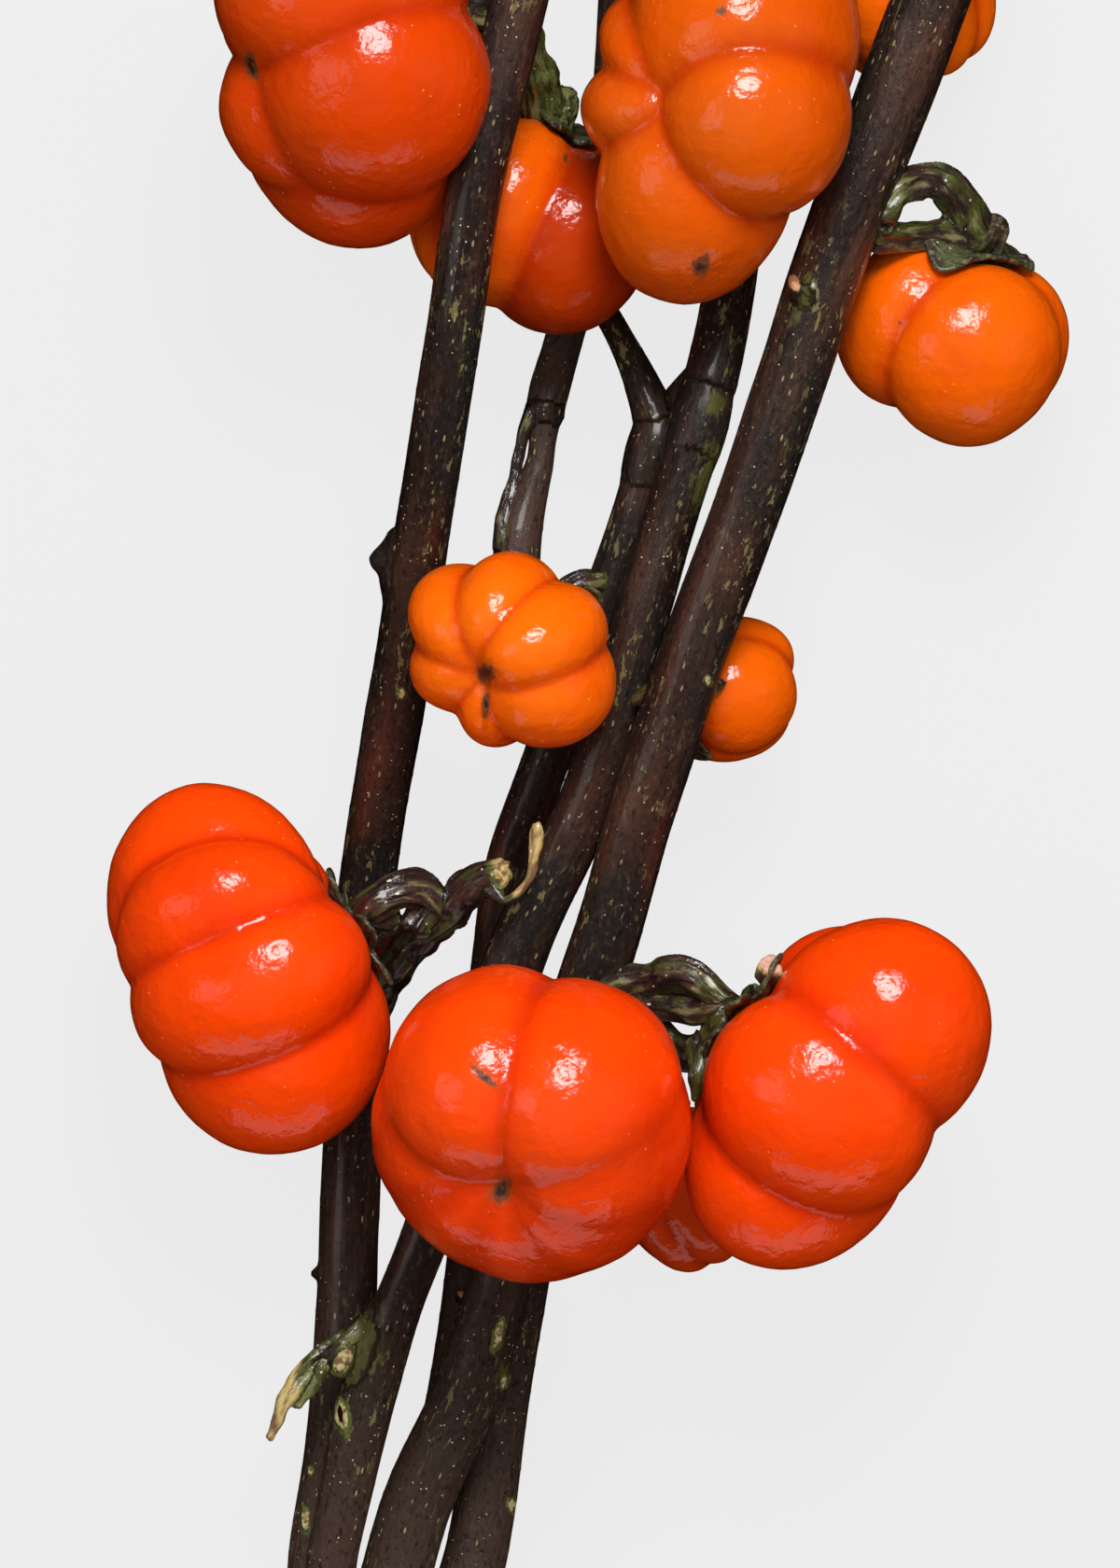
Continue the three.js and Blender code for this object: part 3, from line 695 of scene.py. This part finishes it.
def growRods(name, lines, form, gnarl=1):  # rods under one rough skin
    piece = joined([rod(line) for line in lines], name)
    skinned(piece, form["voxel"], form["smooth"])
    at = points(piece)
    grain = grainOf(at, lines)
    lift = rough(grain * (1, 1, ridgeStretch), form["ridgeSize"]) * (form["ridge"] * gnarl)
    lift += rough(grain * (1, 1, swellStretch), form["swellSize"]) * (form["swell"] * gnarl)
    movePoints(piece, at + normals(piece) * lift[:, None] / 1000)
    restFlat(piece)
    keep(piece, "grain", grainOf(points(piece), lines))
    return piece


def growStem(name):
    lines = [smoothLine(stems[name], stemForm["step"])]
    lines += [smoothLine(knots, stemForm["growthStep"]) for knots in growths.get(name, [])]
    piece = growRods("stem_" + name, lines, stemForm)
    at, facing = points(piece), normals(piece)
    centres = placeLine(lines[0])
    cut = np.zeros(len(at))
    for end, inside in ((centres[-1], centres[-4]), (centres[0], centres[3])):  # both end faces
        ahead = (end - inside) / np.linalg.norm(end - inside)
        square = ease(facing @ ahead, *stemForm["cutFacing"])
        cut = np.maximum(cut, square * (np.linalg.norm(at - end, axis=1) < stemForm["cutReach"]))
    keep(piece, "cut", cut)
    for key, table in (("scar", scars), ("hole", holes), ("tip", tips), ("moss", moss)):
        keep(piece, key, ovals(at, facing, table.get(name, [])))
    finishPiece(piece, stemBark, "bark", "wood")


def barkSkin():
    shader = Shader("stemBark", Coat_Roughness=0.17, IOR=1.5, Specular_IOR_Level=0.16)
    scales = stemLook["scales"]
    grain = shader.attribute("grain", "Vector")
    cut = shader.attribute("cut")
    long = shader.stretch(grain, 0.12)
    streaks = shader.clouds(long, scales["streaks"], 4, 0.65)
    bands = shader.clouds(long, scales["bands"], 3)
    tone = shader.clouds(shader.stretch(grain, 0.5), scales["tone"], 3)
    colour = shader.mix(stemLook["dark"], stemLook["brown"], bands.between(0.38, 0.62))
    colour = shader.mix(colour, stemLook["red"], tone.between(0.50, 0.66) * bands.between(0.42, 0.6) * 0.8)
    colour = shader.mix(colour, stemLook["greenBlack"], tone.between(0.50, 0.38) * 0.65)
    along = shader.add("SeparateXYZ", None, {0: grain}, 2)
    colour = shader.mix(colour, stemLook["buttSide"], along.between(0.13, 0.04) * (tone * 0.8 + 0.25))
    colour = shader.mix(colour, stemLook["streak"], streaks.between(0.6, 0.78) * 0.6)
    mottle = shader.clouds(shader.stretch(grain, 0.6), scales["mottle"], 3, 0.7)
    colour = shader.mix(colour, stemLook["mottle"], mottle.between(0.54, 0.7) * 0.5)
    colour = shader.mix(colour, stemLook["pit"], mottle.between(0.46, 0.32) * 0.75)
    cluster = shader.clouds(shader.stretch(grain, 0.5), scales["clusters"], 2).between(0.43, 0.6)
    flecks = shader.clouds(shader.stretch(grain, 0.4), scales["flecks"], 3, 0.65)
    flecks = flecks.between(0.575, 0.635) * cluster
    colour = shader.mix(colour, stemLook["fleck"], flecks * 0.7)
    dashes = shader.cells(shader.stretch(grain, 0.4), scales["dashes"]).between(0.19, 0.09)
    dashes = dashes * shader.clouds(grain, scales["dashAreas"]).between(0.44, 0.52)
    colour = shader.mix(colour, stemLook["dash"], dashes * 0.85)
    dots = shader.cells(grain, scales["dots"]).between(0.15, 0.07)
    dots = dots * shader.clouds(grain, scales["dotAreas"]).between(0.47, 0.56)
    colour = shader.mix(colour, stemLook["dot"], dots)
    fine = shader.clouds(grain, scales["fine"])
    torn = shader.clouds(shader.stretch(grain, 0.5), scales["torn"], 4, 0.7)
    mossy = (shader.attribute("moss") + torn * 6).between(4.1, 3.4)
    colour = shader.mix(colour, shader.mix(*stemLook["moss"], torn), mossy * 0.7)
    scar = shader.attribute("scar") + torn * 1.6
    colour = shader.mix(colour, stemLook["scarEdge"], scar.between(1.9, 1.7))
    dry = shader.mix(*stemLook["scar"], fine.between(0.38, 0.56))
    colour = shader.mix(colour, dry, scar.between(1.6, 1.45))
    hole = shader.attribute("hole") + fine * 0.5
    # painted shade: the holes are painted near black, as the shade inside them
    colour = shader.mix(colour, stemLook["hole"], hole.between(1.3, 1.1))
    colour = shader.mix(colour, stemLook["tip"], (shader.attribute("tip") + fine * 0.4).between(1.3, 1.0))
    colour = shader.mix(colour, shader.mix(*stemLook["cut"], fine), cut)
    marks = dots.larger(dashes)
    height = streaks * 0.5 + bands * 0.3 + mottle * 0.25 + marks * 0.4 + flecks * 0.2
    height = height + scar.between(1.8, 1.4) * 0.8 - hole.between(1.3, 1.0)
    coat = (tone + bands * 0.4).between(0.55, 0.8) * 0.6
    return shader.finish(colour, streaks * 0.25 + 0.3 + marks * 0.2, height, stemLook["bump"], coat)


# A stalk's lines have the same kind of points, from the wood on; the first goes on to the calyx.
stalks = {
    "upper_left": [[(-7, 122, 47.5, 3.0), (-12, 122.5, 46, 2.4)]],
    "behind_left_stem": [
        [(-6.5, 125, 42, 1.9), (-4.8, 118, 35, 2.9), (-3.4, 112, 29.5, 3.6), (-2, 108.4, 26, 3.5)],
    ],
    "upper_middle": [[(34, 112, 18, 2.8), (35, 110, 26, 2.4)]],
    "top_right": [[(61, 139, 33, 2.8), (56, 142, 24, 2.2)]],
    "right": [
        [
            (51.5, 91, 38, 2.8), (54.8, 95.6, 37, 2.6), (58.5, 97.6, 34.5, 2.8), (62.3, 96, 31.5, 3.2),
            (65.2, 92.4, 28.5, 3.5), (67, 88.6, 26, 3.4),
        ],
        [(50, 88, 37, 2.6), (56, 88.2, 33, 2.5), (61.5, 88.6, 29.5, 2.7), (66, 88.4, 26.5, 2.8)],
    ],
    "small_middle": [[(8.6, 32.5, 19.5, 2.8), (3, 32.3, 23, 2.2), (-1, 27, 26, 2.2)]],
    "small_right": [[(16.5, 15, 36, 2.6), (13, 14, 32.5, 2)]],
    "lower_left": [
        [(-18, -21, 26, 3), (-22, -17.6, 29.5, 3.1), (-27, -17.8, 31.5, 3), (-31, -20.4, 30.5, 2.8)],
        [(-21, -19, 28, 2.8), (-23.6, -24, 29.5, 2.6)],
    ],
    "lower_middle": [[(0.6, -46, 26, 3.2), (1, -46, 33, 2.6)]],
    "lower_right": [[(6, -34, 29, 3.4), (14, -31.4, 33.5, 2.8), (21.5, -31.2, 38.6, 2.9)]],
    "low_behind": [[(-2.2, -52, 8, 2.6), (6, -50, 9, 2), (14, -51.5, 13, 2)]],
}
extraStalks = {
    "lower_left": [
        [
            (-33, -42, 6, 4.2), (-30, -34, 12, 3.8), (-25, -26.5, 20, 3.5), (-18, -20.5, 27, 3.1),
            (-13, -15.8, 33, 2.8), (-9, -14, 35, 2.0),
        ],
        [
            (-12, -16, 34, 1.9), (-9, -18.8, 35.5, 0.9), (-5, -15, 36.4, 0.8), (-4.2, -10, 36.8, 0.8),
            (-4, -6, 37, 0.7),
        ],
    ],
    "lower_right": [
        [(8, -36, 30, 3), (14.5, -35.6, 33, 2.7), (20.5, -36.2, 36, 2.6), (27, -35.8, 39, 2.6)],
        [
            (12, -38, 31, 2.6), (16.6, -41, 32, 2.4), (20.5, -43.4, 34, 2.8), (24.4, -41.6, 37, 2.6),
            (27, -37, 39.5, 2.4),
        ],
        [(22.5, -42, 37, 2.2), (22.6, -46.4, 40, 1.8), (21.8, -51, 40, 0.8)],
        [(32.6, -31.6, 41.5, 1.6), (33.8, -29.8, 42.5, 2.1), (34.4, -27.4, 43, 0.7)],
    ],
}
# Stalks and twigs are coloured by how fresh they are: 0 is old bark, 1 green, 2 dry straw, 3 pink.
buds = {"lower_right": (34.3, -27.9, 3.4, 3), "lower_left": (-4.4, -12, 8.5, 1.7)}  # x, y, radius, fresh
twigs = {  # small pieces that end free; gnarl is how knobbly, dryTip where the tip turns to straw, m
    "dry_stub": {
        "gnarl": 1, "fresh": 0.5, "dryTip": (0.042, 0.05),
        "lines": [
            [
                (-31, -88, 18, 3), (-35.6, -90.6, 20.4, 2.1), (-40.4, -94.4, 21.4, 1.9),
                (-43.8, -99.6, 21.8, 1.5), (-47.2, -105.8, 21.6, 0.6),
            ],
            [(-38.5, -93, 21.4, 1.6), (-39.6, -96.5, 22.4, 0.9), (-42.6, -100.6, 22.6, 0.7)],
        ],
    },
    "torn_strip": {
        "gnarl": 0.4, "fresh": 0.08,
        "lines": [
            [
                (-4.2, 60.4, 11, 1.6), (-5.6, 57.8, 11.6, 1.3), (-6.6, 54.5, 12, 1), (-7.2, 51, 12.6, 1),
                (-8, 46.5, 13.4, 1.3), (-9.1, 42, 14.6, 1.5), (-9.8, 37.5, 15.3, 1.4),
            ],
        ],
    },
}
stalkForm = {  # heights and steps in mm, sizes in m
    "voxel": 0.37, "smooth": 3, "step": 0.6,
    "ridge": 0.5, "ridgeSize": 0.0013, "swell": 1.0, "swellSize": 0.0031,
    "end": [(7.3, 2.2), (2, 2.5), (-0.5, 2.7)],  # height over the fruit's dimple and radius
    "fresh": 0.05,
    "budCore": 0.7,  # share of a bud's radius in its full colour
}
stalkLook = {
    "bark": ((0.020, 0.012, 0.010), (0.048, 0.024, 0.018)),
    "olive": (0.055, 0.060, 0.014),
    "green": (0.085, 0.125, 0.032),
    "pale": (0.20, 0.19, 0.07),
    "straw": ((0.20, 0.10, 0.05), (0.56, 0.42, 0.15)),
    "pink": (0.64, 0.36, 0.27),
    "dot": (0.62, 0.58, 0.42),
    "bump": 0.0012,  # m
    "scales": {"folds": 620, "broad": 260, "dots": 620, "dotAreas": 300},
}


def dimple(fruit):  # height of the dimple floor above the fruit's centre
    depth = fruitForm["lobeDepth"]
    share = math.sqrt(1 - ((1 - depth) / depth) ** 2)
    return max(height * share + lift for _, _, _, height, lift in fruit["lobes"])


def growStalk(name):
    fruit = fruits[name]
    stalk = np.array(fruitAxes(fruit)[0])
    floor = np.array(fruit["centre"]) + stalk * dimple(fruit)
    end = [(*(floor + stalk * height), radius) for height, radius in stalkForm["end"]]
    paths = [stalks[name][0] + end] + stalks[name][1:] + extraStalks.get(name, [])
    lines = [smoothLine(knots, stalkForm["step"]) for knots in paths]
    piece = growRods("stalk_" + name, lines, stalkForm)
    at = points(piece)
    fresh = np.full(len(at), float(fruit.get("fresh", stalkForm["fresh"])))
    if name in buds:
        x, y, radius, budFresh = buds[name]
        gap = np.linalg.norm((at - place((x, y, 0)))[:, :2], axis=1) * 1000
        fresh += (budFresh - fresh) * ease(-gap, -radius, -radius * stalkForm["budCore"])
    keep(piece, "fresh", fresh)
    finishPiece(piece, stalkBark, "bark", "wood")


def growTwig(name):
    twig = twigs[name]
    lines = [smoothLine(knots, stalkForm["step"]) for knots in twig["lines"]]
    piece = growRods(name, lines, stalkForm, twig["gnarl"])
    at = points(piece)
    fresh = np.full(len(at), twig["fresh"])
    if "dryTip" in twig:
        fresh += (2 - fresh) * ease(-at[:, 0], *twig["dryTip"])
    keep(piece, "fresh", fresh)
    finishPiece(piece, stalkBark, "bark", "wood")


def stalkSkin():
    shader = Shader("stalkSkin", Coat_Roughness=0.12, IOR=1.5)
    scales = stalkLook["scales"]
    grain = shader.attribute("grain", "Vector")
    fresh = shader.attribute("fresh")
    folds = shader.clouds(shader.stretch(grain, 0.3), scales["folds"], 4, 0.6)
    broad = shader.clouds(shader.stretch(grain, 0.6), scales["broad"], 3)
    colour = shader.mix(*stalkLook["bark"], folds.between(0.4, 0.6))
    colour = shader.mix(colour, stalkLook["olive"], (broad + fresh * 0.22).between(0.53, 0.65))
    colour = shader.mix(colour, stalkLook["green"], fresh.between(0.6, 1.0) * folds.between(0.4, 0.56))
    colour = shader.mix(colour, stalkLook["pale"], (folds + fresh * 0.1).between(0.56, 0.70) * 0.7)
    straw = shader.mix(*stalkLook["straw"], folds.between(0.38, 0.6))
    colour = shader.mix(colour, straw, (fresh + folds).between(1.6, 2.3))
    colour = shader.mix(colour, stalkLook["pink"], fresh.between(2.5, 2.9))
    dots = shader.cells(grain, scales["dots"]).between(0.16, 0.08)
    dots = dots * shader.clouds(grain, scales["dotAreas"]).between(0.5, 0.56)
    colour = shader.mix(colour, stalkLook["dot"], dots)
    height = folds * 0.8 + broad * 0.6
    return shader.finish(colour, folds * 0.3 + 0.12, height, stalkLook["bump"], 0.5 - dots * 0.4)


# Calyxes are green caps laid on the fruits around their stalks: a flat disc of rings is cut to
# points, dropped onto the fruit, crumpled and given a thickness.
calyxForm = {
    "around": 54, "rings": 11, "points": 5, "notch": 0.5,
    "spread": 1.08,  # times the fruit's own calyx reach
    "uneven": 0.16, "frill": 0.07,  # shares of the outline
    "waver": 0.25, "sharp": 1.6,  # how irregular and how pointed its points are
    "seedStep": 1.7,
    "lift": 0.35, "curl": 1.1, "collar": 1.3, "thickness": 0.9,  # mm
    "crumple": 0.95, "crumpleSize": 0.0024, "grain": 0.18, "grainSize": 0.0012,  # mm, sizes in m
    "cutFrom": (0.2, 0.9), "crumpleFrom": (0.1, 0.7), "curlFrom": (0.55, 1.1),  # shares of the reach,
    "collarFrom": (0.4, 0.05),  # where each form starts and where it is full
    "curlPoints": (0.5, 1.0),  # the same for the outline: its points curl, its notches don't
}
calyxLook = {
    "green": ((0.028, 0.020, 0.010), (0.075, 0.085, 0.028)),
    "pale": (0.24, 0.23, 0.12),
    "fleck": (0.60, 0.56, 0.40),
    "bump": 0.0013,  # m
    "scales": {"broad": 300, "fine": 900, "flecks": 700, "fleckAreas": 350},
}


def flatDisc():  # rings of faces, drawn in from the rim and closed in the middle
    bpy.ops.object.select_all(action="DESELECT")
    bpy.ops.mesh.primitive_circle_add(vertices=calyxForm["around"], radius=1, fill_type="NOTHING")
    bpy.ops.object.mode_set(mode="EDIT")
    bpy.ops.mesh.select_all(action="SELECT")
    for ring in range(calyxForm["rings"] - 1):
        left = (calyxForm["rings"] - 1 - ring) / (calyxForm["rings"] - ring)
        bpy.ops.mesh.extrude_edges_move()
        bpy.ops.transform.resize(value=(left, left, 1), center_override=(0, 0, 0))
    bpy.ops.mesh.extrude_edges_move()
    bpy.ops.mesh.merge(type="CENTER")
    bpy.ops.mesh.select_all(action="SELECT")
    bpy.ops.mesh.normals_make_consistent(inside=False)
    bpy.ops.object.mode_set(mode="OBJECT")
    return bpy.context.object


def growCalyx(name, fruitPiece):
    fruit = fruits[name]
    stalk, facing, across = fruitAxes(fruit)
    cap = flatDisc()
    at = points(cap)
    share, turn = np.hypot(at[:, 0], at[:, 1]), np.arctan2(at[:, 1], at[:, 0])
    seed = len(name) * calyxForm["seedStep"]  # so that neighbours' outlines differ
    sway = np.sin(turn * 2 + seed)
    wave = np.abs(np.cos(turn * calyxForm["points"] / 2 + calyxForm["waver"] * sway))
    notch = fruit.get("notch", calyxForm["notch"])
    outline = notch + (1 - notch) * wave ** calyxForm["sharp"]
    outline *= 1 + calyxForm["uneven"] * sway + calyxForm["frill"] * np.sin(turn * 7 + seed)
    size = 1 + (outline - 1) * ease(share, *calyxForm["cutFrom"])
    size = share * size * (fruit["calyx"] * calyxForm["spread"] / 1000)
    above = 2 * dimple(fruit) / 1000  # the disc starts well above the fruit
    flat = np.stack([size * np.cos(turn), size * np.sin(turn), np.full(len(at), above)], 1)
    flat[:, 0] *= fruit.get("squash", 1)
    flat[:, 1] += fruit.get("shift", 0) / 1000
    if np.mean([face.normal.z for face in cap.data.polygons]) < 0:
        flat[:, 0] *= -1
    movePoints(cap, flat)
    turnTo = Matrix([facing, across, stalk]).transposed().to_4x4()
    cap.matrix_world = Matrix.Translation(Vector(place(fruit["centre"]))) @ turnTo
    apply(
        cap, "SHRINKWRAP", target=fruitPiece, wrap_method="PROJECT", use_project_z=True,
        use_negative_direction=True, use_positive_direction=False, offset=calyxForm["lift"] / 1000,
    )
    at = points(cap)
    missed = at[:, 2] > above * 0.98  # no fruit under these points
    at[missed, 2] = dimple(fruit) / 1000
    curl = calyxForm["curl"] / 1000 * ease(share, *calyxForm["curlFrom"])
    at[:, 2] += curl * ease(outline, *calyxForm["curlPoints"])
    crumple = rough(flat * (1, 1, 0) + seed, calyxForm["crumpleSize"], 3)
    at[:, 2] += np.abs(crumple) * calyxForm["crumple"] / 1000 * ease(share, *calyxForm["crumpleFrom"])
    at[:, 2] += calyxForm["collar"] / 1000 * ease(share, *calyxForm["collarFrom"])
    movePoints(cap, at)
    cap = joined([cap], "cap_" + name)
    apply(cap, "SOLIDIFY", thickness=calyxForm["thickness"] / 1000, offset=1)
    apply(cap, "SUBSURF", levels=1, render_levels=1)
    at = points(cap)
    grain = rough(at, calyxForm["grainSize"]) * (calyxForm["grain"] / 1000)
    movePoints(cap, at + normals(cap) * grain[:, None])
    finishPiece(cap, calyxGreen, "calyx", "calyx_" + name)


def calyxSkin():
    shader = Shader("calyxSkin", Coat_Roughness=0.15, IOR=1.5)
    scales = calyxLook["scales"]
    here = shader.add("TexCoord", None, None, "Object")
    broad = shader.clouds(here, scales["broad"], 3)
    fine = shader.clouds(here, scales["fine"], 4, 0.65)
    colour = shader.mix(*calyxLook["green"], broad.between(0.4, 0.6))
    colour = shader.mix(colour, calyxLook["pale"], fine.between(0.52, 0.66) * 0.75)
    flecks = shader.cells(here, scales["flecks"]).between(0.2, 0.1)
    flecks = flecks * shader.clouds(here, scales["fleckAreas"]).between(0.48, 0.55)
    colour = shader.mix(colour, calyxLook["fleck"], flecks * 0.8)
    height = fine * 0.8 + broad * 0.6
    return shader.finish(colour, fine * 0.4 + 0.15, height, calyxLook["bump"], 0.4 - fine * 0.2)


setStudio()
print("camera, lights and paper set")
stemBark, stalkBark, calyxGreen = barkSkin(), stalkSkin(), calyxSkin()
for name in stems:
    growStem(name)
print("stems grown")
for name in fruits:
    growCalyx(name, growFruit(name))
    growStalk(name)
print("fruits, calyxes and stalks grown")
for name in twigs:
    growTwig(name)
print("twigs grown")
